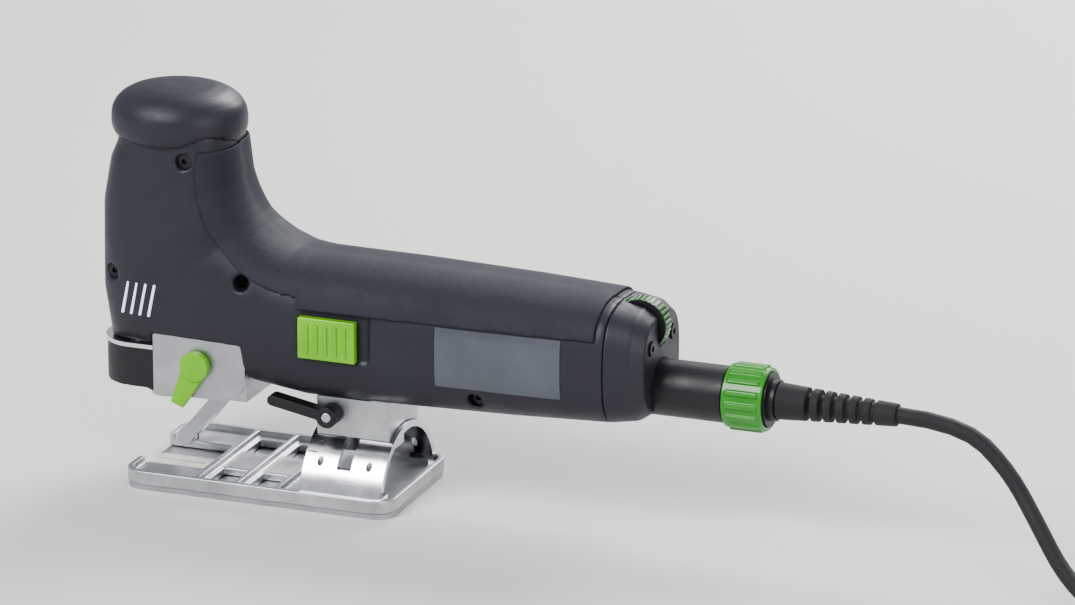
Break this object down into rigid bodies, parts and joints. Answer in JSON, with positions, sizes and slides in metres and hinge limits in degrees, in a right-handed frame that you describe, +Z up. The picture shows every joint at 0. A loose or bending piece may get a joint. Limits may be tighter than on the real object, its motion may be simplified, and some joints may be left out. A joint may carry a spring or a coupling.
{
  "type": "jigsaw power tool",
  "caption": "Corded barrel-grip jigsaw with a tall neck, tilting cast base, side switch, pendulum selector and a detachable mains lead.",
  "frame": {"origin": "in the plane of the sole, on the axis about which the saw tilts, midway between the sides", "axes": "+Z up from the sole, the saw cuts towards -X, its left side faces -Y"},
  "size_m": [0.6925, 0.1077, 0.186],
  "materials": {
    "housing_plastic": "moulded charcoal-blue nylon, fine spark texture",
    "soft_plastic": "soft blue-black overmould",
    "black_plastic": "black glass-filled nylon",
    "badge_plastic": "plain grey panel",
    "green_plastic": "bright green control parts",
    "lens": "clear light lens",
    "cast_metal": "die-cast, blasted",
    "bright_steel": "bright plated steel",
    "steel": "ground and turned steel",
    "dark_steel": "blackened steel",
    "copper": "copper windings",
    "bronze": "sintered bronze and brass",
    "board": "circuit board",
    "cord_rubber": "black rubber sheath",
    "guard_plastic": "pale plastic insert"
  },
  "bodies": {
    "base": {"base_plate": "cast_metal", "running_sole": "steel", "splinter_guard": "guard_plastic", "tilt_quadrant": "bright_steel", "quadrant_screws": "dark_steel", "cord_lead": "cord_rubber", "cord_tail": "cord_rubber", "cord_hank": "cord_rubber", "mains_plug": "black_plastic", "plug_pins": "bright_steel"},
    "saw": {"housing_left": "housing_plastic", "housing_right": "housing_plastic", "rear_cap": "housing_plastic", "top_cap": "housing_plastic", "soft_grip": "soft_plastic", "nose_cover": "black_plastic", "mains_inlet": "black_plastic", "lead_connector": "black_plastic", "switch_module": "black_plastic", "speed_pot": "black_plastic", "upper_guide": "black_plastic", "side_badges": "badge_plastic", "work_lights": "lens", "gear_case": "cast_metal", "saddle": "cast_metal", "nose_band": "bright_steel", "clamp_block": "bright_steel", "selector_plate": "steel", "side_plate": "steel", "motor_bearings": "steel", "gear_axle": "steel", "fork_pin": "steel", "clamp_screw": "steel", "stator_core": "steel", "housing_screws": "dark_steel", "field_windings": "copper", "plunger_bushes": "bronze", "brush_holders": "bronze", "inlet_pins": "bronze", "control_board": "board", "cord_boot": "cord_rubber"},
    "rotor": {"motor_shaft": "steel", "rotor_core": "steel", "armature_windings": "copper", "commutator": "copper", "fan": "black_plastic"},
    "gear": {"drive_gear": "steel", "crank_weight": "steel"},
    "plunger": {"plunger": "bright_steel", "yoke": "steel", "blade_clamp": "steel"},
    "sleeve": {"clamp_sleeve": "dark_steel"},
    "fork": {"pendulum_fork": "steel", "roller_pin": "steel"},
    "roller": {"guide_roller": "steel"},
    "selector": {"selector_lever": "green_plastic"},
    "switch": {"switch_sliders": "green_plastic"},
    "dial": {"speed_dial": "black_plastic"},
    "ring": {"lock_ring": "green_plastic"},
    "lever": {"tilt_lever": "black_plastic"}
  },
  "joints": [
    {"name": "tilt", "type": "hinge", "parent": "base", "child": "saw", "pos_m": [0, 0, 0], "axis": [1, 0, 0], "range_deg": [-45, 45]},
    {"name": "gear_spin", "type": "hinge", "parent": "saw", "child": "gear", "pos_m": [-0.019, 0, 0.107], "axis": [1, 0, 0], "continuous": true},
    {"name": "rotor_spin", "type": "hinge", "parent": "saw", "child": "rotor", "pos_m": [0.06, 0, 0.08], "axis": [1, 0, 0], "continuous": true},
    {"name": "plunger_stroke", "type": "slide", "parent": "saw", "child": "plunger", "axis": [0, 0, 1], "range_m": [-0.013, 0.013]},
    {"name": "clamp_release", "type": "hinge", "parent": "plunger", "child": "sleeve", "pos_m": [-0.05, 0, 0.045], "axis": [0, 0, 1], "range_deg": [0, 60], "stiffness_Nm_per_rad": 0.02},
    {"name": "fork_swing", "type": "hinge", "parent": "saw", "child": "fork", "pos_m": [-0.01, 0, 0.052], "axis": [0, 1, 0], "range_deg": [0, 3]},
    {"name": "roller_spin", "type": "hinge", "parent": "fork", "child": "roller", "pos_m": [-0.04, 0, 0.016], "axis": [0, 1, 0], "continuous": true},
    {"name": "pendulum_select", "type": "hinge", "parent": "saw", "child": "selector", "pos_m": [-0.024, -0.026, 0.06], "axis": [0, 1, 0], "range_deg": [-60, 0]},
    {"name": "switch_slide", "type": "slide", "parent": "saw", "child": "switch", "axis": [1, 0, 0], "range_m": [0, 0.006]},
    {"name": "speed_turn", "type": "hinge", "parent": "saw", "child": "dial", "pos_m": [0.185, 0, 0.097], "axis": [0, 1, 0], "range_deg": [0, 270]},
    {"name": "ring_turn", "type": "hinge", "parent": "saw", "child": "ring", "pos_m": [0.236, 0, 0.068], "axis": [1, 0, 0], "range_deg": [0, 60]},
    {"name": "tilt_lever_swing", "type": "hinge", "parent": "saw", "child": "lever", "pos_m": [0.04, -0.022, 0.042], "axis": [0, 1, 0], "range_deg": [-50, 0]}
  ],
  "couplings": [
    {"joint": "rotor_spin", "follows": "gear_spin", "ratio": -4.4545}
  ]
}
